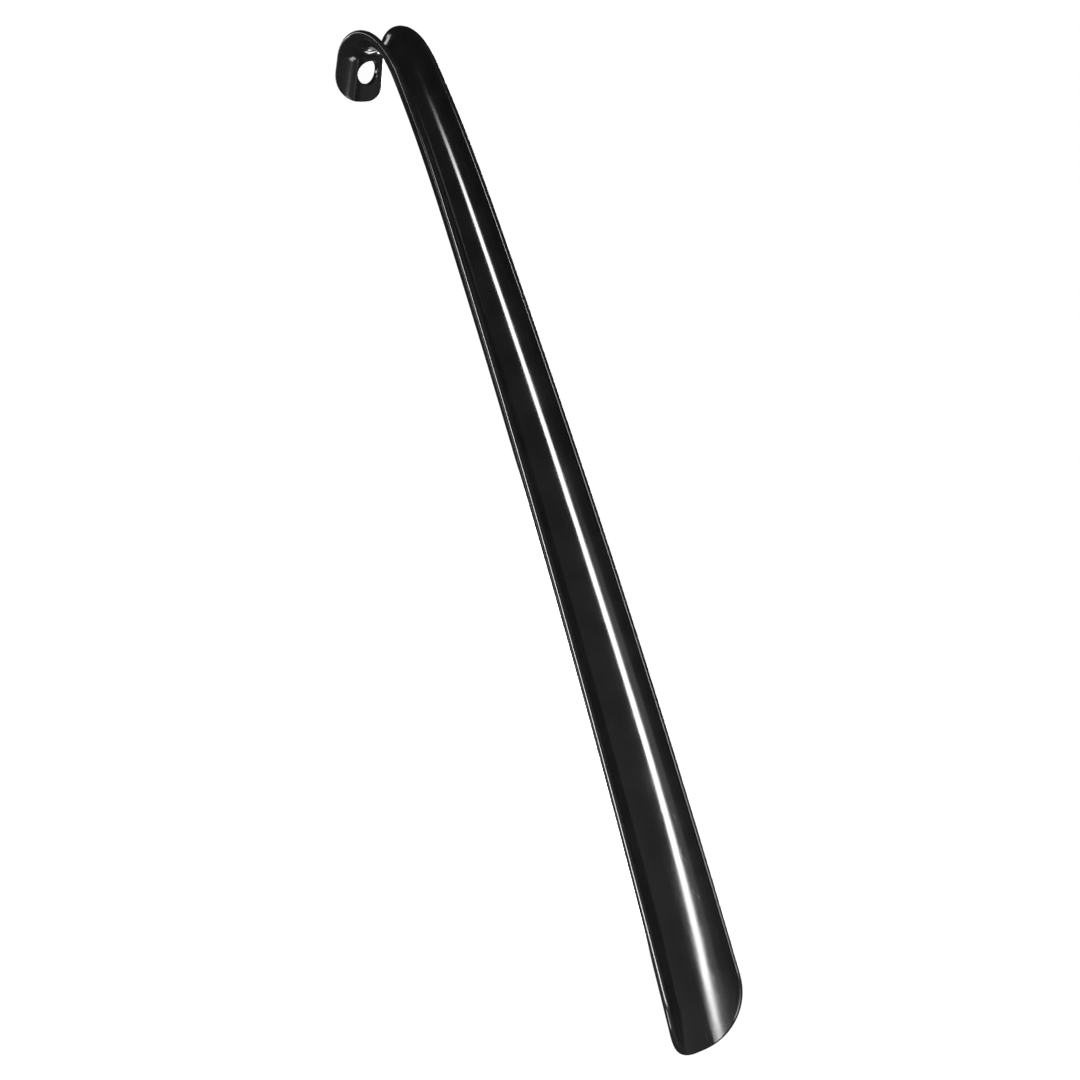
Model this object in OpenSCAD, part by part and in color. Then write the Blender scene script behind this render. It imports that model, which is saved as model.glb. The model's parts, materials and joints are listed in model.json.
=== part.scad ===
// Long shoehorn: one moulding, with a trough-shaped blade, a hook bent over
// towards its back, and a hanging tab with a round hole.
// Frame: origin at the centre of the hanging hole, +Y along the blade to the hook,
// +Z out of the hollow front of the trough, with the shoehorn on its back. Millimetres.

/* [Blade] */
// Length of the blade along its middle, from its tip to the start of the bend
blade_len = 431; // [250:1:800]
// Wall thickness of the moulding
wall = 2.4; // [1.6:0.1:3.6]
// How far the rounding of the rims stands out from the wall
rim_out = 0.7; // [0.3:0.1:1.2]
// Width across the rims at the heel end
blade_w = 43; // [34:0.5:60]
// Width across the rims where the bend starts
neck_w = 20.5; // [20:0.5:30]
// Depth of the trough at the heel end
blade_depth = 12.2; // [5:0.1:16]
// Depth of the trough where the bend starts
neck_depth = 9.7; // [4:0.1:9.9]
// Length of the rounded heel end
tip_len = 28.5; // [15:0.5:60]
// Squareness of the rounded heel end, 2 is an ellipse
tip_square = 2.55; // [1.8:0.05:3]
// Lean of the blade at the heel end, degrees from upright
tip_lean = -3.5; // [-8:0.1:0]
// Lean gained steadily along the blade, degrees
bow_lean = 6.8; // [0:0.1:12]
// Extra lean gained over the upper part of the blade, degrees
neck_lean = 5.7; // [0:0.1:10]
// Fraction of the blade below that extra lean
neck_start = 0.84; // [0.5:0.01:0.95]
// How late the extra lean comes on, 1 is steady
neck_onset = 1.4; // [1:0.1:3]

/* [Hook and tab] */
// Mean radius of the bend, at the middle of the wall
bend_r = 13.9; // [11:0.1:25]
// How much the bend tightens towards the tab, 0 is a plain arc
bend_gain = 0.85; // [0:0.05:0.9]
// Direction of the tab, degrees from straight up
tab_lean = 143.5; // [110:0.5:170]
// Straight length of the tab, past the bend
tab_len = 17.7; // [15:0.1:40]
// Width of the tab across its rims
tab_w = 25; // [18:0.5:32]
// Depth of the trough on the tab
tab_depth = 6; // [3:0.1:9]
// Length of the tab's rounded end, less than the tab's straight length
tab_round = 13.4; // [6:0.1:14]
// Squareness of the tab's rounded end, 2 is an ellipse
tab_square = 2.55; // [1.8:0.05:3]
// Diameter of the hanging hole
hole_d = 10.5; // [5:0.5:13]
// Distance from the tab's end to the centre of the hanging hole
hole_up = 12.5; // [10:0.5:14]

/* [Hidden] */

// Grid of the moulding's skin
tip_steps = 10;      // rows round the heel end
blade_steps = 30;    // rows along the blade
bend_steps = 18;     // rows round the bend
tab_steps = 4;       // rows down the straight of the tab
end_steps = 8;       // rows round the tab's end
half_steps = 7;      // columns from the middle to one rim
rim_steps = 6;       // facets round the half ellipse of a rim
spine_step = 1;      // spacing of the worked-out spine points

// Lengths along the spine, from the blade's tip to the tab's end
neck_angle = tip_lean + bow_lean + neck_lean;
bend_len = bend_r * (tab_lean - neck_angle) * PI / 180;
bend_end = blade_len + bend_len;
total_len = bend_end + tab_len;
hole_s = total_len - hole_up;
skin = wall / 2;       // from the middle of the wall to its front or back
bore_len = 6 * wall;
bore_facets = 64;
lay_down = [-90, 0, 0];  // turns the standing shoehorn onto its back
gloss_black = [0.02, 0.02, 0.022];

// 0 at a, 1 at b, straight between them, and level outside
function ramp(s, a, b) = min(1, max(0, (s - a) / (b - a)));
function blend(a, b, t) = a + (b - a) * t;

// Share of the bend's angle that has been turned by the fraction t of its length
function bend_share(t) = t - bend_gain * t * (1 - t);

// Direction of the spine at s, in degrees from +Z towards +Y
function lean(s) =
    s <= blade_len
        ? tip_lean + bow_lean * ramp(s, 0, blade_len)
            + neck_lean * pow(ramp(s, neck_start * blade_len, blade_len), neck_onset)
        : blend(neck_angle, tab_lean, bend_share(ramp(s, blade_len, bend_end)));

// The spine itself, summed in short steps from just before the tip to just past
// the tab's end: [s, y, z] at each step. Up to the last step the shoehorn stands on
// its tip, with +Z up the blade and its hollow front towards -Y
spine = [
    for (
        s = -wall, y = 0, z = 0;
        s <= total_len + wall + spine_step;
        y = y + spine_step * sin(lean(s + spine_step / 2)),
        z = z + spine_step * cos(lean(s + spine_step / 2)),
        s = s + spine_step
    ) [s, y, z]
];
spine_y = [for (p = spine) [p[0], p[1]]];
spine_z = [for (p = spine) [p[0], p[2]]];

// Half the width between the rim centres, before the ends are rounded
function half_width(s) =
    s <= blade_len
        ? blend(blade_w, neck_w, ramp(s, 0, blade_len)) / 2
        : blend(neck_w, tab_w, ramp(s, blade_len, total_len)) / 2;

// Depth of the trough from its rims to its middle
function depth(s) =
    s <= blade_len
        ? blend(blade_depth, neck_depth, ramp(s, 0, blade_len))
        : blend(neck_depth, tab_depth, ramp(s, blade_len, bend_end));

// Radius of the trough's arc, from its half width and its depth
function trough_r(s) = (pow(half_width(s), 2) + pow(depth(s), 2)) / (2 * depth(s));

// One quarter of a squared-off ellipse: 1 at t = 0, falling to 0 at t = 1
function rounded(t, power) = pow(1 - pow(t, power), 1 / power);

// How far the rounded ends draw the rims in, 1 where they do not
function end_scale(s) =
    let(
        tip = 1 - ramp(s, 0, tip_len),
        tab = ramp(s, total_len - tab_round, total_len)
    )
    rounded(tip, tip_square) * rounded(tab, tab_square);

// Run along the wall, from the middle to a rim's centre
function half_run(s) =
    trough_r(s) * asin(end_scale(s) * half_width(s) / trough_r(s)) * PI / 180;

// A place on the moulding: s along the spine, v across the wall from the middle,
// n through the wall towards the hollow front
function place(s, v, n) =
    let(
        r = trough_r(min(total_len, max(0, s))),
        a = v / r * 180 / PI,
        rise = r - (r - n) * cos(a)
    )
    [
        (r - n) * sin(a),
        lookup(s, spine_y) - rise * cos(lean(s)),
        lookup(s, spine_z) + rise * sin(lean(s))
    ];

// Rows of the grid, closer together where an end is rounded
function round_row(i, steps, len, power) = len * (1 - pow(cos(90 * i / steps), 2 / power));
rows = concat(
    [for (i = [0 : tip_steps - 1]) round_row(i, tip_steps, tip_len, tip_square)],
    [for (i = [0 : blade_steps - 1]) blend(tip_len, blade_len, i / blade_steps)],
    [for (i = [0 : bend_steps - 1]) blend(blade_len, bend_end, i / bend_steps)],
    [for (i = [0 : tab_steps - 1]) blend(bend_end, total_len - tab_round, i / tab_steps)],
    [for (i = [end_steps : -1 : 0]) total_len - round_row(i, end_steps, tab_round, tab_square)]
);
last_row = len(rows) - 1;

// Middle of the right-hand rim in row i; the rows beyond an end are the mirror
// image of those before it, so that the outline closes smoothly
function rim(i) =
    i < 0 ? [rows[-i], -half_run(rows[-i])]
    : i > last_row ? [rows[2 * last_row - i], -half_run(rows[2 * last_row - i])]
    : [rows[i], half_run(rows[i])];

// Direction in the wall that points straight out of the right-hand rim in row i
function rim_way(i) =
    let(along = rim(i + 1) - rim(i - 1))
    [-along[1], along[0]] / norm(along);

// Point of a rim's rounding, a half ellipse, from the front (step 0) to the back
function rim_point(i, step, side) =
    let(
        turn = 90 - 180 * step / rim_steps,
        c = rim(i) + rim_way(i) * rim_out * cos(turn)
    )
    place(c[0], side * c[1], skin * sin(turn));

// Point on the front or the back of the wall, from the left rim (0) to the right
function face_point(i, column, n) =
    place(rows[i], half_run(rows[i]) * (column / half_steps - 1), n);

// One closed loop of points round the wall
wide = 2 * half_steps;
ring_len = 2 * (wide + rim_steps);
function ring(i) = concat(
    [for (k = [0 : wide]) face_point(i, k, skin)],
    [for (k = [1 : rim_steps - 1]) rim_point(i, k, 1)],
    [for (k = [wide : -1 : 0]) face_point(i, k, -skin)],
    [for (k = [rim_steps - 1 : -1 : 1]) rim_point(i, k, -1)]
);

// At both ends the loop has closed to the rim's half ellipse, so its front, its back
// and its two rims share points
function shared(k) =
    k <= wide ? 0
    : k <= wide + rim_steps ? k - wide
    : k <= 2 * wide + rim_steps ? rim_steps
    : ring_len - k;
end_ring_len = rim_steps + 1;
function end_ring(i) = [for (k = [0 : rim_steps]) rim_point(i, k, 1)];
function point_index(i, k) =
    let(j = k % ring_len)
    i == 0 ? shared(j)
    : i == last_row ? end_ring_len + (last_row - 1) * ring_len + shared(j)
    : end_ring_len + (i - 1) * ring_len + j;

skin_points = concat(
    end_ring(0),
    [for (i = [1 : last_row - 1]) each ring(i)],
    end_ring(last_row)
);
skin_faces = [
    for (i = [0 : last_row - 1], k = [0 : ring_len - 1])
        let(
            a = point_index(i, k),
            b = point_index(i, k + 1),
            c = point_index(i + 1, k + 1),
            d = point_index(i + 1, k)
        )
        each [
            if (a != b) [a, b, c],
            if (c != d) [a, c, d]
        ]
];

// Turns and moves its children from the hole's own axis to the tab
module at_hole() {
    translate(place(hole_s, 0, 0))
        rotate([90 - tab_lean, 0, 0])
            children();
}

// Blade, bend and tab in one skin, before the hole is made
module trough() {
    polyhedron(points = skin_points, faces = skin_faces, convexity = 10);
}

module shoehorn_moulding() {
    color(gloss_black)
        rotate(lay_down)
            translate(-place(hole_s, 0, 0))
                difference() {
                    trough();
                    at_hole()
                        cylinder(h = bore_len, d = hole_d, center = true, $fn = bore_facets);
                }
}

shoehorn_moulding();
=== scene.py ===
import json
import math

import bmesh
import bpy
import numpy as np
from mathutils import Matrix, Vector


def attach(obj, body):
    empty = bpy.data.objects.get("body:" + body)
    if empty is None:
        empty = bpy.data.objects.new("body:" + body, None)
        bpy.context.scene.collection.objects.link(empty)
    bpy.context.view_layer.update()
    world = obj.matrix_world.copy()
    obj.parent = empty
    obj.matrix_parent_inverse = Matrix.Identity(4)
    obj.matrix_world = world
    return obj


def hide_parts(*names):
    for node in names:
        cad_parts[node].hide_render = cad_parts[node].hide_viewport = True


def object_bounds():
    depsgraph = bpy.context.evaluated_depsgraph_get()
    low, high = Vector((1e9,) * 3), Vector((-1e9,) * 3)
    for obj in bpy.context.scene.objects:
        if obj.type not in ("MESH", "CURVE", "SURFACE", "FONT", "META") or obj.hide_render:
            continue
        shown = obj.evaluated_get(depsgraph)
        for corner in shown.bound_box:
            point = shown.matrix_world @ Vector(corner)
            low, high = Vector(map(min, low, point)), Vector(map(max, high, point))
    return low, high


# A long shoehorn: one moulding in gloss black plastic. Lengths are in metres and
# the frame is the CAD part's own: the origin is the centre of the hanging hole, +Y
# runs along the blade to the hook, and +Z is out of the hollow front of the trough.
# It lies on its back. The middle line is worked out standing, as height up the
# blade and how far back it is, and place() lays it down.

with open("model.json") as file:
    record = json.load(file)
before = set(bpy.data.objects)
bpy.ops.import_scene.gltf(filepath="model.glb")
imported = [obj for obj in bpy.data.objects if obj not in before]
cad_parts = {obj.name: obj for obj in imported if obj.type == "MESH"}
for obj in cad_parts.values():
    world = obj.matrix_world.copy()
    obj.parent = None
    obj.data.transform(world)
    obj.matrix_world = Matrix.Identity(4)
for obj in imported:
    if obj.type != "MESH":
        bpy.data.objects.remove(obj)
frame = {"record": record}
cad_low, cad_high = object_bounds()

NODE = "shoehorn_moulding"
hole = next(m for m in frame["record"]["mounts"] if m["name"] == "hang_hole")
HOLE_CENTRE = Vector(hole["pos_m"])
HOLE_R = hole["dims"]["r_mm"] / 1000

# ---------------------------------------------------------------- the moulding

WALL = 0.0024
SKIN = WALL / 2      # from the middle of the wall to its front or back
RIM_OUT = 0.0007     # how far the rims' rounding stands out from the wall
BLADE_LEN = 0.431
BLADE_W = 0.043
NECK_W = 0.0205
BLADE_DEPTH = 0.0122
NECK_DEPTH = 0.0097
TIP_LEN = 0.0285
TIP_SQUARE = 2.55
TIP_LEAN = math.radians(-3.5)
BOW_LEAN = math.radians(6.8)
NECK_LEAN = math.radians(5.7)
NECK_START = 0.84
NECK_ONSET = 1.4
BEND_R = 0.0139
BEND_GAIN = 0.85
TAB_LEAN = math.atan2(hole["axis"][1], hole["axis"][2])
TAB_LEN = 0.0177
TAB_W = 0.025
TAB_DEPTH = 0.006
TAB_ROUND = 0.0134
TAB_SQUARE = 2.55
HOLE_UP = 0.0125

NECK_ANGLE = TIP_LEAN + BOW_LEAN + NECK_LEAN
BEND_END = BLADE_LEN + BEND_R * (TAB_LEAN - NECK_ANGLE)
TOTAL = BEND_END + TAB_LEN
HOLE_S = TOTAL - HOLE_UP


def ramp(s, a, b):
    """0 at a, 1 at b, straight between them and level outside."""
    return np.clip((s - a) / (b - a), 0, 1)


def mix(a, b, t):
    return a + (b - a) * t


def lean(s):
    """How far the middle line leans back at s from straight up, once stood up."""
    blade = (
        TIP_LEAN
        + BOW_LEAN * ramp(s, 0, BLADE_LEN)
        + NECK_LEAN * ramp(s, NECK_START * BLADE_LEN, BLADE_LEN) ** NECK_ONSET
    )
    t = ramp(s, BLADE_LEN, BEND_END)
    bend = mix(NECK_ANGLE, TAB_LEAN, t - BEND_GAIN * t * (1 - t))
    return np.where(s <= BLADE_LEN, blade, bend)


# The middle line, summed in short steps
SPINE_STEP = 0.00025
spine_s = np.arange(-WALL, TOTAL + WALL + SPINE_STEP, SPINE_STEP)
spine_lean = lean(spine_s[:-1] + SPINE_STEP / 2)
spine_back = np.concatenate([[0], np.cumsum(np.sin(spine_lean))]) * SPINE_STEP
spine_up = np.concatenate([[0], np.cumsum(np.cos(spine_lean))]) * SPINE_STEP


def half_width(s):
    blade = mix(BLADE_W, NECK_W, ramp(s, 0, BLADE_LEN))
    hook = mix(NECK_W, TAB_W, ramp(s, BLADE_LEN, TOTAL))
    return np.where(s <= BLADE_LEN, blade, hook) / 2


def depth(s):
    blade = mix(BLADE_DEPTH, NECK_DEPTH, ramp(s, 0, BLADE_LEN))
    hook = mix(NECK_DEPTH, TAB_DEPTH, ramp(s, BLADE_LEN, BEND_END))
    return np.where(s <= BLADE_LEN, blade, hook)


def trough_r(s):
    s = np.clip(s, 0, TOTAL)
    return (half_width(s) ** 2 + depth(s) ** 2) / (2 * depth(s))


def rounded(t, power):
    """One quarter of a squared-off ellipse: 1 at t = 0, falling to 0 at t = 1."""
    return np.maximum(1 - t ** power, 0) ** (1 / power)


def end_scale(s):
    """How far the two rounded ends draw the rims in: 1 where they do not."""
    tip = 1 - ramp(s, 0, TIP_LEN)
    tab = ramp(s, TOTAL - TAB_ROUND, TOTAL)
    return rounded(tip, TIP_SQUARE) * rounded(tab, TAB_SQUARE)


def half_run(s):
    """Run along the wall from the middle to a rim's centre."""
    return trough_r(s) * np.arcsin(end_scale(s) * half_width(s) / trough_r(s))


def place(s, v, n):
    """Points at s along the middle line, v across the wall and n through it."""
    r = trough_r(s)
    a = v / r
    rise = r - (r - n) * np.cos(a)
    return np.stack(
        [
            (r - n) * np.sin(a),
            np.interp(s, spine_s, spine_up) + rise * np.sin(lean(s)),
            rise * np.cos(lean(s)) - np.interp(s, spine_s, spine_back),
        ],
        axis=-1,
    )


hole_middle = place(np.array(HOLE_S), np.array(0.0), np.array(0.0))
ALONG_TAB = np.array([0, math.cos(TAB_LEAN), -math.sin(TAB_LEAN)])


WALL_PASSES = 12     # enough for on_wall to settle


def on_wall(u, w, n):
    """s and v of the point of layer n that lies u across and w along the hole's axis."""
    s = HOLE_S + w
    for _ in range(WALL_PASSES):
        r = trough_r(s)
        v = r * np.arcsin(u / (r - n))
        s = s + w - (place(s, v, n) - hole_middle) @ ALONG_TAB
    return s, v


# Grid of the skin: rows along the middle line, columns round the wall
TIP_ROWS = 28
BLADE_ROWS = 150
BEND_ROWS = 64
BLOCK_ROWS = 24
END_ROWS = 16
HALF = 24            # columns from the middle to one rim
BLOCK_HALF = 15      # of which the square round the hole takes this many
RIM_STEPS = 12
HOLE_BLOCK = 0.0080  # half the length of that square
HOLE_EASE = 0.0005   # radius of the hole's broken edges
HOLE_RINGS = 9
EASE_STEPS = 5
BORE_STEPS = 4
RIM_FADE = 0.0012    # how far in from a rim its wear fades
WIDE = 2 * HALF
RING = 2 * (WIDE + RIM_STEPS)


def skin_rows():
    """Rows of the grid, closer together round the two ends."""
    turn = np.linspace(0, math.pi / 2, TIP_ROWS, endpoint=False)
    tip = TIP_LEN * (1 - np.cos(turn) ** (2 / TIP_SQUARE))
    blade = np.linspace(TIP_LEN, BLADE_LEN, BLADE_ROWS, endpoint=False)
    bend = np.linspace(BLADE_LEN, HOLE_S - HOLE_BLOCK, BEND_ROWS, endpoint=False)
    block_end = HOLE_S + HOLE_BLOCK
    block = np.linspace(HOLE_S - HOLE_BLOCK, block_end, BLOCK_ROWS, endpoint=False)
    last = math.acos((1 - (TOTAL - block_end) / TAB_ROUND) ** (TAB_SQUARE / 2))
    turn = np.linspace(last, 0, END_ROWS + 1)
    end = TOTAL - TAB_ROUND * (1 - np.cos(turn) ** (2 / TAB_SQUARE))
    return np.concatenate([tip, blade, bend, block, end])


def rim_direction(rows, run):
    """In-wall direction straight out of the right-hand rim at each row."""
    s = np.concatenate([[rows[1]], rows, [rows[-2]]])
    v = np.concatenate([[-run[1]], run, [-run[-2]]])
    along = np.stack([s[2:] - s[:-2], v[2:] - v[:-2]], axis=-1)
    along /= np.linalg.norm(along, axis=1)[:, None]
    return -along[:, 1], along[:, 0]


def skin_grid(rows):
    """s, v and n of every grid point: front, right rim, back, left rim."""
    run = half_run(rows)
    out_s, out_v = rim_direction(rows, run)
    columns = []

    def face(k, n):
        columns.append((rows, run * (k / HALF - 1), np.full_like(rows, n)))

    def rim(k, side):
        turn = math.pi / 2 - math.pi * k / RIM_STEPS
        reach = RIM_OUT * math.cos(turn)
        height = np.full_like(rows, SKIN * math.sin(turn))
        columns.append((rows + out_s * reach, side * (run + out_v * reach), height))

    for k in range(WIDE + 1):
        face(k, SKIN)
    for k in range(1, RIM_STEPS):
        rim(k, 1)
    for k in range(WIDE, -1, -1):
        face(k, -SKIN)
    for k in range(RIM_STEPS - 1, 0, -1):
        rim(k, -1)
    return [np.stack([c[i] for c in columns], axis=1) for i in range(3)]


def shared_column(k):
    """At the two ends the ring has closed to the right rim's half ellipse."""
    if k <= WIDE:
        return WIDE
    if k <= WIDE + RIM_STEPS:
        return k
    if k <= 2 * WIDE + RIM_STEPS:
        return WIDE + RIM_STEPS
    return WIDE + RING - k


def block_loop(index, first_row, back):
    """The grid points round the square that the hole is set in, in order."""
    lo, hi = HALF - BLOCK_HALF, HALF + BLOCK_HALF
    last_row = first_row + BLOCK_ROWS
    loop = [(first_row, k) for k in range(lo, hi)]
    loop += [(i, hi) for i in range(first_row, last_row)]
    loop += [(last_row, k) for k in range(hi, lo, -1)]
    loop += [(i, lo) for i in range(last_row, first_row, -1)]
    if back:
        loop = [(i, 2 * WIDE + RIM_STEPS - k) for i, k in loop]
    return [index[i, k] for i, k in loop]


def hole_profile():
    """Radius and height in the wall, from the front face through to the back."""
    turns = np.linspace(0, math.pi / 2, EASE_STEPS + 1)
    front = [
        (HOLE_R + HOLE_EASE * (1 - math.sin(t)), SKIN - HOLE_EASE * (1 - math.cos(t)))
        for t in turns
    ]
    straight = SKIN - HOLE_EASE
    bore = [(HOLE_R, n) for n in np.linspace(straight, -straight, BORE_STEPS + 1)[1:-1]]
    return front + bore + [(r, -n) for r, n in reversed(front)]


class Skin:
    """Points of the skin, as s, v and n, and the faces between them."""

    def __init__(self, s, v, n):
        self.points = [[s.ravel()], [v.ravel()], [n.ravel()]]
        self.count = s.size
        self.faces = []

    def add_ring(self, *ring):
        """Adds a loop of points, and gives back their numbers."""
        for store, values in zip(self.points, ring):
            store.append(values)
        first = self.count
        self.count += len(ring[0])
        return list(range(first, self.count))

    def bridge(self, a, b):
        """Faces between two loops that have as many points as each other."""
        for k in range(len(a)):
            m = (k + 1) % len(a)
            self.faces.append((a[k], a[m], b[m], b[k]))


def add_grid_faces(skin, index, first_row):
    """Faces all over the grid, but for the squares round the two ends of the hole."""
    block_rows = range(first_row, first_row + BLOCK_ROWS)
    back_middle = 2 * WIDE + RIM_STEPS - HALF
    front_block = range(HALF - BLOCK_HALF, HALF + BLOCK_HALF)
    back_block = range(back_middle - BLOCK_HALF, back_middle + BLOCK_HALF)
    for i in range(len(index) - 1):
        for k in range(RING):
            if i in block_rows and (k in front_block or k in back_block):
                continue
            m = (k + 1) % RING
            quad = (index[i, k], index[i, m], index[i + 1, m], index[i + 1, k])
            skin.faces.append(tuple(dict.fromkeys(int(p) for p in quad)))


def add_hole(skin, index, first_row):
    """Rings down the hole, and from each of its ends out to the square round it."""
    flat_s, flat_v = skin.points[0][0], skin.points[1][0]
    front_loop = block_loop(index, first_row, back=False)
    back_loop = block_loop(index, first_row, back=True)
    angles = np.arctan2(flat_v[front_loop], flat_s[front_loop] - HOLE_S)
    rings = []
    for radius, height in hole_profile():
        layer = np.full_like(angles, height)
        ring_s, ring_v = on_wall(radius * np.sin(angles), radius * np.cos(angles), layer)
        rings.append((ring_s, ring_v, layer))
    ids = [skin.add_ring(*ring) for ring in rings]
    for a, b in zip(ids, ids[1:]):
        skin.bridge(a, b)
    for loop, ring, previous in (
        (front_loop, rings[0], ids[0]),
        (back_loop, rings[-1], ids[-1]),
    ):
        for step in range(1, HOLE_RINGS):
            t = step / HOLE_RINGS
            outer = skin.add_ring(
                mix(ring[0], flat_s[loop], t), mix(ring[1], flat_v[loop], t), ring[2]
            )
            skin.bridge(previous, outer)
            previous = outer
        skin.bridge(previous, [int(p) for p in loop])


def build_moulding():
    """The whole shoehorn as one closed skin, with the hole set into its tab."""
    s, v, n = skin_grid(skin_rows())
    index = np.arange(s.size).reshape(s.shape)
    for row in (0, -1):
        index[row] = [index[row][shared_column(k)] for k in range(RING)]
    first_row = TIP_ROWS + BLADE_ROWS + BEND_ROWS
    skin = Skin(s, v, n)
    add_grid_faces(skin, index, first_row)
    add_hole(skin, index, first_row)
    s, v, n = (np.concatenate(parts) for parts in skin.points)
    return s, v, n, skin.faces


def moulding_object():
    """Turns the skin into a smooth mesh that also knows where its rims are."""
    s, v, n, faces = build_moulding()
    used = np.unique(np.concatenate([np.array(f) for f in faces]))
    number = np.full(len(s), -1)
    number[used] = np.arange(len(used))
    s, v, n = s[used], v[used], n[used]
    co = place(s, v, n) - hole_middle + np.array(HOLE_CENTRE)
    mesh = bpy.data.meshes.new("shoehorn")
    mesh.from_pydata(co.tolist(), [], [tuple(int(number[p]) for p in f) for f in faces])
    work = bmesh.new()
    work.from_mesh(mesh)
    bmesh.ops.recalc_face_normals(work, faces=work.faces)
    for face in work.faces:
        face.smooth = True
    work.to_mesh(mesh)
    work.free()
    from_rim = np.minimum(half_run(np.clip(s, 0, TOTAL)) - np.abs(v), np.minimum(s, TOTAL - s))
    add_attribute(mesh, "rim", np.exp(-np.maximum(from_rim, 0) / RIM_FADE))
    add_attribute(mesh, "along", np.clip(s / TOTAL, 0, 1))
    add_attribute(mesh, "hollow", ramp(n, -SKIN, SKIN))
    piece = bpy.data.objects.new("shoehorn_gloss_shell", mesh)
    bpy.context.scene.collection.objects.link(piece)
    return piece


def add_attribute(mesh, name, values):
    attribute = mesh.attributes.new(name, "FLOAT", "POINT")
    attribute.data.foreach_set("value", np.asarray(values, dtype=np.float32))


# ------------------------------------------------------------------- materials


class Nodes:
    """Short calls for building a node tree."""

    def __init__(self, tree):
        self.tree = tree
        tree.nodes.clear()

    def add(self, kind, inputs=None, **settings):
        node = self.tree.nodes.new(kind)
        for key, value in settings.items():
            setattr(node, key, value)
        for key, value in (inputs or {}).items():
            if isinstance(value, bpy.types.NodeSocket):
                self.tree.links.new(value, node.inputs[key])
            else:
                node.inputs[key].default_value = value
        return node

    def math(self, operation, a, b=0.0):
        return self.add("ShaderNodeMath", {0: a, 1: b}, operation=operation).outputs[0]

    def between(self, value, low, high, to_low=0.0, to_high=1.0):
        """value, eased from low..high to to_low..to_high."""
        node = self.add("ShaderNodeMapRange", {"Value": value}, interpolation_type="SMOOTHSTEP")
        for key, bound in zip(("From Min", "From Max", "To Min", "To Max"),
                              (low, high, to_low, to_high)):
            node.inputs[key].default_value = bound
        return node.outputs["Result"]

    def colour(self, factor, a, b):
        """Colour a where factor is 0, b where it is 1."""
        mixed = self.add("ShaderNodeMix", data_type="RGBA")
        for socket, value in zip((mixed.inputs[0], mixed.inputs[6], mixed.inputs[7]),
                                 (factor, a, b)):
            if isinstance(value, bpy.types.NodeSocket):
                self.tree.links.new(value, socket)
            else:
                socket.default_value = value
        return mixed.outputs[2]

    def attribute(self, name):
        return self.add("ShaderNodeAttribute", attribute_name=name).outputs["Fac"]

    def noise(self, where, scale, detail=2.0, stretch=None):
        if stretch:
            moved = self.add("ShaderNodeMapping", {"Vector": where, "Scale": stretch})
            where = moved.outputs["Vector"]
        settings = {"Vector": where, "Scale": scale, "Detail": detail}
        return self.add("ShaderNodeTexNoise", settings).outputs["Fac"]

    def bump(self, height, distance, normal=None, invert=False):
        inputs = {"Height": height, "Distance": distance, "Strength": 1.0}
        if normal:
            inputs["Normal"] = normal
        return self.add("ShaderNodeBump", inputs, invert=invert).outputs["Normal"]


WHITE = (1, 1, 1, 1)
PAPER_DARK = (0.78, 0.78, 0.78, 1)
PAPER_PALE = (0.86, 0.86, 0.86, 1)
BLACK_DEEP = (0.007, 0.007, 0.0074, 1)
BLACK_SOFT = (0.0098, 0.0098, 0.0102, 1)
RUBBED_GREY = (0.03, 0.03, 0.031, 1)
ROUGHNESS = 0.12
PLASTIC_IOR = 1.5
RIPPLE_HEIGHT = 0.00002
PEEL_HEIGHT = 0.0000015
SCRATCH_DEPTH = 0.000008
SCRATCH_ROUGHNESS = 0.16
RUBBED_ROUGHNESS = 0.12
HAIRLINE_CELLS = (2600, 45, 2600)    # cells of noise in a metre of x, y and z
RIPPLE_CELLS = (220, 70, 220)


def wear(nodes, where):
    """Scratches and rubbed spots, both 0 where there are none. The hairline scratches
    run along the blade, most of them in the hollow of its lower half. The rubbed
    spots are on the rims."""
    along = nodes.attribute("along")
    hollow = nodes.attribute("hollow")
    hairline = nodes.between(nodes.noise(where, 1.0, 3.0, stretch=HAIRLINE_CELLS), 0.66, 0.74)
    patches = nodes.between(nodes.noise(where, 30.0), 0.42, 0.62)
    used_part = nodes.math(
        "MULTIPLY", nodes.between(along, 0.15, 0.75, 1.0, 0.0), nodes.between(hollow, 0.4, 0.9, 0.35)
    )
    scratches = nodes.math("MULTIPLY", nodes.math("MULTIPLY", hairline, patches), used_part)
    rub = nodes.between(nodes.noise(where, 520.0, 4.0), 0.5, 0.68)
    on_rim = nodes.between(nodes.attribute("rim"), 0.8, 1.0, 0.0, 0.35)
    return scratches, nodes.math("MULTIPLY", rub, on_rim)


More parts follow.
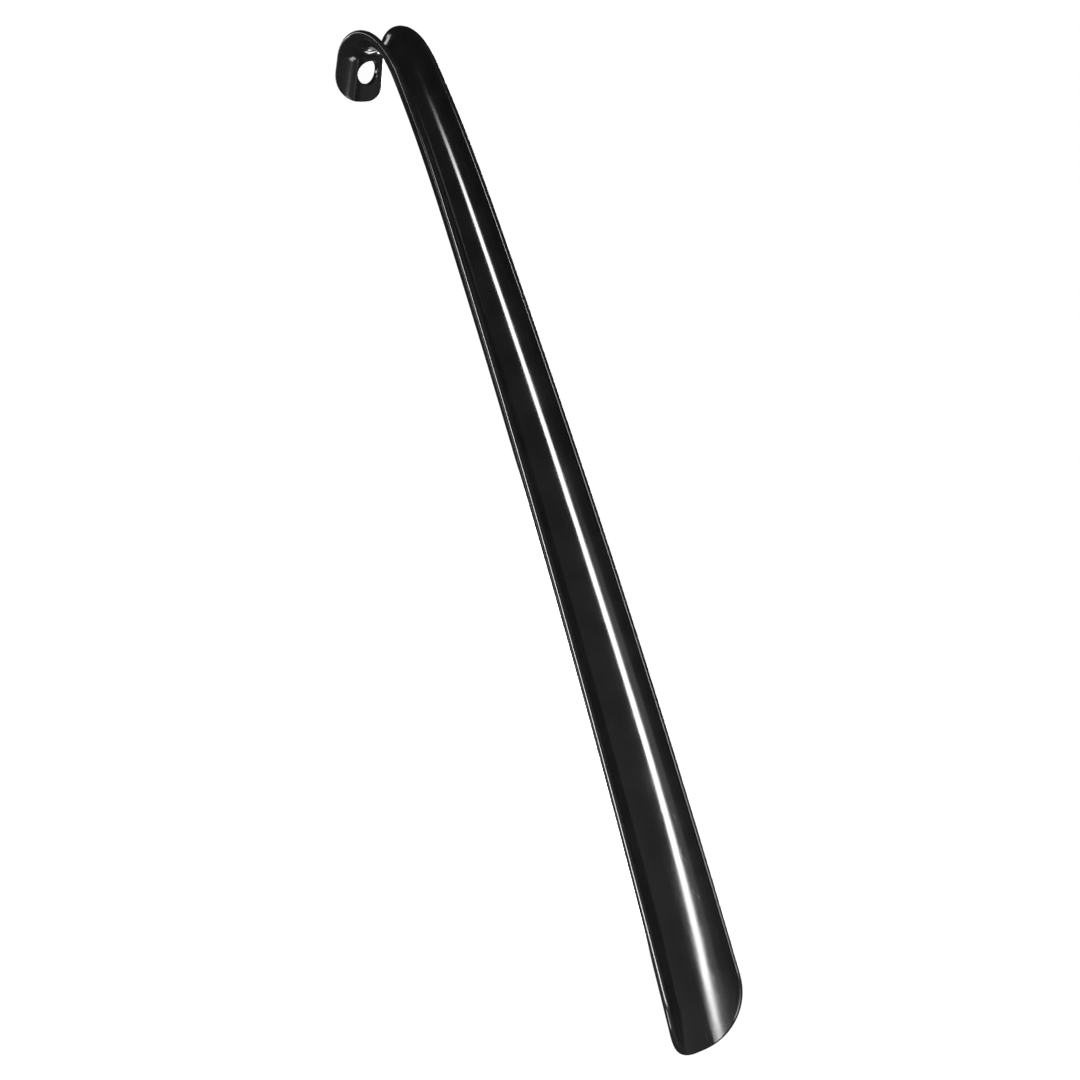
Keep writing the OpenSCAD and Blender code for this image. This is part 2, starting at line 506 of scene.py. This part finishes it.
def gloss_black_plastic():
    """Polished black plastic: a faint mould ripple, hairline scratches from use in
    the hollow of the blade, and slightly rubbed rims."""
    material = bpy.data.materials.new("gloss_black_plastic")
    material.use_nodes = True
    nodes = Nodes(material.node_tree)
    where = nodes.add("ShaderNodeTexCoord").outputs["Object"]
    scratches, rubbed = wear(nodes, where)

    cloud = nodes.noise(where, 60.0, 3.0)
    haze = nodes.noise(where, 900.0)
    roughness = nodes.between(cloud, 0.3, 0.7, ROUGHNESS - 0.015, ROUGHNESS + 0.02)
    for part in (
        nodes.between(haze, 0.3, 0.7, -0.008, 0.008),
        nodes.math("MULTIPLY", scratches, SCRATCH_ROUGHNESS),
        nodes.math("MULTIPLY", rubbed, RUBBED_ROUGHNESS),
    ):
        roughness = nodes.math("ADD", roughness, part)

    tone = nodes.colour(nodes.between(cloud, 0.35, 0.65), BLACK_DEEP, BLACK_SOFT)
    tone = nodes.colour(nodes.math("MULTIPLY", rubbed, 0.5), tone, RUBBED_GREY)

    normal = nodes.bump(nodes.noise(where, 1.0, 1.0, stretch=RIPPLE_CELLS), RIPPLE_HEIGHT)
    normal = nodes.bump(nodes.noise(where, 1100.0, 1.0), PEEL_HEIGHT, normal)
    normal = nodes.bump(scratches, SCRATCH_DEPTH, normal, invert=True)
    shader = nodes.add(
        "ShaderNodeBsdfPrincipled",
        {"Base Color": tone, "Roughness": roughness, "IOR": PLASTIC_IOR, "Normal": normal},
    )
    nodes.add("ShaderNodeOutputMaterial", {"Surface": shader.outputs[0]})
    return material


def pale_floor():
    """Matt white paper under a strong wash of light, so that shadows barely show."""
    material = bpy.data.materials.new("pale_floor")
    material.use_nodes = True
    nodes = Nodes(material.node_tree)
    where = nodes.add("ShaderNodeTexCoord").outputs["Object"]
    grain = nodes.noise(where, 400.0, 4.0)
    paint = nodes.colour(grain, PAPER_DARK, PAPER_PALE)
    matt = nodes.add("ShaderNodeBsdfDiffuse", {"Color": paint})
    wash = nodes.add("ShaderNodeEmission", {"Color": WHITE, "Strength": WASH})
    both = nodes.add("ShaderNodeMixShader", {0: WASH_SHARE, 1: matt.outputs[0], 2: wash.outputs[0]})
    nodes.add("ShaderNodeOutputMaterial", {"Surface": both.outputs[0]})
    return material


# ------------------------------------------------------ floor, light and camera

ALONG_BLADE = Vector((0, 1, 0))
FLOOR_GAP = 0.0004
FLOOR_R = 0.9
FLOOR_SIDES = 96
WASH = 1.04
WASH_SHARE = 0.92    # how much of the floor's light is the wash, not its shading
BACKDROP_WHITE = 1.0
DIM_UP = 0.03        # brightness that a mirror sees, looking up the blade
DIM_DOWN = 0.22      # and down it
DIM_BEHIND = 0.2     # share of that which is left behind the shoehorn


def direction(azimuth, elevation):
    """Unit vector as seen by the shoehorn: azimuth goes round its blade from straight
    out of the hollow (+Z) to its right (+X), elevation up the blade (+Y)."""
    a, e = math.radians(azimuth), math.radians(elevation)
    return Vector((math.sin(a) * math.cos(e), math.sin(e), math.cos(a) * math.cos(e)))


def facing(back):
    """Turn of a lamp or camera that looks along -back, with the blade upright in it."""
    right = ALONG_BLADE.cross(back).normalized()
    return Matrix((right, back.cross(right), back)).transposed()


def floor(under):
    """A plain pale disc just under the object."""
    mesh = bpy.data.meshes.new("floor")
    work = bmesh.new()
    bmesh.ops.create_circle(work, cap_ends=True, radius=FLOOR_R, segments=FLOOR_SIDES)
    work.to_mesh(mesh)
    work.free()
    disc = bpy.data.objects.new("floor", mesh)
    disc.location = under
    disc.visible_glossy = False
    disc.visible_shadow = False
    disc.data.materials.append(pale_floor())
    bpy.context.scene.collection.objects.link(disc)


def backdrop():
    """White to the camera and as soft light, but dim in reflections, where only the
    strips and panels should show."""
    world = bpy.data.worlds.new("studio")
    world.use_nodes = True
    nodes = Nodes(world.node_tree)
    way = nodes.add("ShaderNodeTexCoord").outputs["Generated"]
    up_blade = nodes.add("ShaderNodeSeparateXYZ", {0: way}).outputs["Y"]
    forward = nodes.add("ShaderNodeVectorMath", {0: way, 1: direction(10, 0)},
                        operation="DOT_PRODUCT").outputs["Value"]
    dimness = nodes.between(up_blade, -0.15, 0.3, DIM_DOWN, DIM_UP)
    ahead = nodes.between(forward, -0.1, 0.45, DIM_BEHIND, 1.0)
    dimness = nodes.math("MULTIPLY", dimness, ahead)
    path = nodes.add("ShaderNodeLightPath").outputs
    seen = nodes.math("MAXIMUM", path["Is Camera Ray"], path["Is Diffuse Ray"])
    dim = nodes.add("ShaderNodeBackground", {"Color": WHITE, "Strength": dimness})
    white = nodes.add("ShaderNodeBackground", {"Color": WHITE, "Strength": BACKDROP_WHITE})
    both = nodes.add("ShaderNodeMixShader", {0: seen, 1: dim.outputs[0], 2: white.outputs[0]})
    nodes.add("ShaderNodeOutputWorld", {"Surface": both.outputs[0]})
    world.cycles.sampling_method = "NONE"
    bpy.context.scene.world = world


def area_light(name, aim, azimuth, elevation, away, size, on_matt=True):
    """Makes a rectangular light that the camera doesn't see, and gives back its
    emptied node tree. It looks at aim from the distance away. size is its width and
    height, and on_matt is False if it shows in gloss only."""
    data = bpy.data.lights.new(name, "AREA")
    data.shape = "RECTANGLE"
    data.size, data.size_y = size
    data.energy = math.pi * data.size * data.size_y
    data.use_nodes = True
    back = direction(azimuth, elevation)
    lamp = bpy.data.objects.new(name, data)
    lamp.location = aim + back * away
    lamp.rotation_euler = facing(back).to_euler()
    lamp.visible_camera = False
    lamp.visible_diffuse = on_matt
    bpy.context.scene.collection.objects.link(lamp)
    return Nodes(data.node_tree)


def place_on_light(nodes):
    """How far across and up its rectangle a point of the light is, both 0 to 1."""
    where = nodes.add("ShaderNodeNewGeometry").outputs["Parametric"]
    share = nodes.add("ShaderNodeSeparateXYZ", {0: where}).outputs
    return share["X"], share["Y"]


def shine(nodes, strength):
    glow = nodes.add("ShaderNodeEmission", {"Strength": strength})
    nodes.add("ShaderNodeOutputLight", {"Surface": glow.outputs[0]})


FAR = 1.3            # distance of the lights that reach along the whole blade
SOFT_EDGE = 0.1      # share of a softbox over which each of its sides fades


def softbox(name, aim, azimuth, elevation, away, size, brightness):
    """An even light with soft sides; brightness is what a mirror shows."""
    nodes = area_light(name, aim, azimuth, elevation, away, size)
    strength = brightness
    for share in place_on_light(nodes):
        for side, inside in ((0, SOFT_EDGE), (1, 1 - SOFT_EDGE)):
            strength = nodes.math("MULTIPLY", nodes.between(share, side, inside), strength)
    shine(nodes, strength)


# The key light. Places on it are metres across and up from its centre, and each pair
# is where a side starts and ends its fade
KEY_AZIMUTH = -35
KEY_SIZE = (2.2, 1.8)
KEY_BRIGHTNESS = 32
STRIP_LEFT = (-0.14, -0.02)
STRIP_RIGHT = (0.23, 0.21)
STRIP_TOP = (0.74, 0.36)
STRIP_FOOT = (-0.62, -0.55)
FOOT_SHARE = 0.35    # share of the strip's brightness that is left below its foot
SWING_FROM = -0.17   # height below which strip and panel swing
SWING = 3.8          # how far, times the square of the height below that
PANEL_BRIGHTNESS = 0.9
PANEL_LEFT = (-0.62, -0.5)
PANEL_RIGHT = (0.1, 0.0)
PANEL_TOP = (0.15, -0.1)


def key_light(middle):
    """A tall strip to the left of the hollow's front, with a dim panel next to it.
    The lower part of both swings ever faster towards the hollow's front."""
    nodes = area_light("key", middle, KEY_AZIMUTH, 0, FAR, KEY_SIZE, on_matt=False)
    across, height = (
        nodes.math("MULTIPLY", nodes.math("SUBTRACT", share, 0.5), length)
        for share, length in zip(place_on_light(nodes), KEY_SIZE)
    )
    below = nodes.math("MAXIMUM", nodes.math("SUBTRACT", SWING_FROM, height), 0.0)
    swing = nodes.math("MULTIPLY", nodes.math("POWER", below, 2.0), SWING)
    across = nodes.math("SUBTRACT", across, swing)
    strip = KEY_BRIGHTNESS
    for part in (
        nodes.between(across, *STRIP_LEFT),
        nodes.between(across, *STRIP_RIGHT),
        nodes.between(height, *STRIP_TOP),
        nodes.between(height, *STRIP_FOOT, FOOT_SHARE, 1.0),
    ):
        strip = nodes.math("MULTIPLY", part, strip)
    panel = PANEL_BRIGHTNESS
    for part in (
        nodes.between(across, *PANEL_LEFT),
        nodes.between(across, *PANEL_RIGHT),
        nodes.between(height, *PANEL_TOP),
    ):
        panel = nodes.math("MULTIPLY", part, panel)
    shine(nodes, nodes.math("ADD", strip, panel))


def lights(middle, hook, tip):
    """The key light, and softboxes that pick out the rims, the bend and the back."""
    key_light(middle)
    softbox("under_bend", hook, 145, -35, 0.5, (0.16, 0.36), 9)
    softbox("top_back", hook, 148, 43, 0.7, (0.42, 0.18), 1.8)
    softbox("low_left", tip, -50, -34, 0.5, (0.2, 0.34), 9)
    softbox("right_back", middle, 124, 5, FAR, (0.3, 1.1), 14)
    softbox("left_back", middle, -135, 10, FAR, (0.3, 1.1), 9)


# The camera, in degrees, metres and (for its lens) millimetres
CAMERA_AZIMUTH = -38.28
CAMERA_ELEVATION = -2.46
CAMERA_ROLL = 16.69
CAMERA_DISTANCE = 1.218
CAMERA_LENS = 95.5
AIM_RIGHT = 0.00312  # what it looks at, measured in the picture from the middle
AIM_UP = -0.00225    # of the shoehorn's box


def camera(middle):
    """A long lens nearly square to the blade's middle, turned so the blade leans."""
    back = direction(CAMERA_AZIMUTH, CAMERA_ELEVATION)
    turned = facing(back) @ Matrix.Rotation(math.radians(-CAMERA_ROLL), 3, "Z")
    right, up = turned.col[0], turned.col[1]
    aim = middle + right * AIM_RIGHT + up * AIM_UP
    data = bpy.data.cameras.new("camera")
    data.lens = CAMERA_LENS
    data.sensor_width = 36
    data.clip_start = 0.05
    data.clip_end = 20
    view = bpy.data.objects.new("camera", data)
    view.matrix_world = Matrix.Translation(aim + back * CAMERA_DISTANCE) @ turned.to_4x4()
    bpy.context.scene.collection.objects.link(view)
    bpy.context.scene.camera = view


shoehorn = moulding_object()
shoehorn.data.materials.append(gloss_black_plastic())
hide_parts(NODE)
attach(shoehorn, "root")

middle = (cad_low + cad_high) / 2
at_tip = place(np.array(0.0), np.array(0.0), np.array(0.0)) - hole_middle
floor(Vector((middle.x, middle.y, cad_low.z - FLOOR_GAP)))
backdrop()
lights(middle, HOLE_CENTRE, HOLE_CENTRE + Vector(at_tip))
camera(middle)
bpy.context.scene.view_settings.view_transform = "Standard"
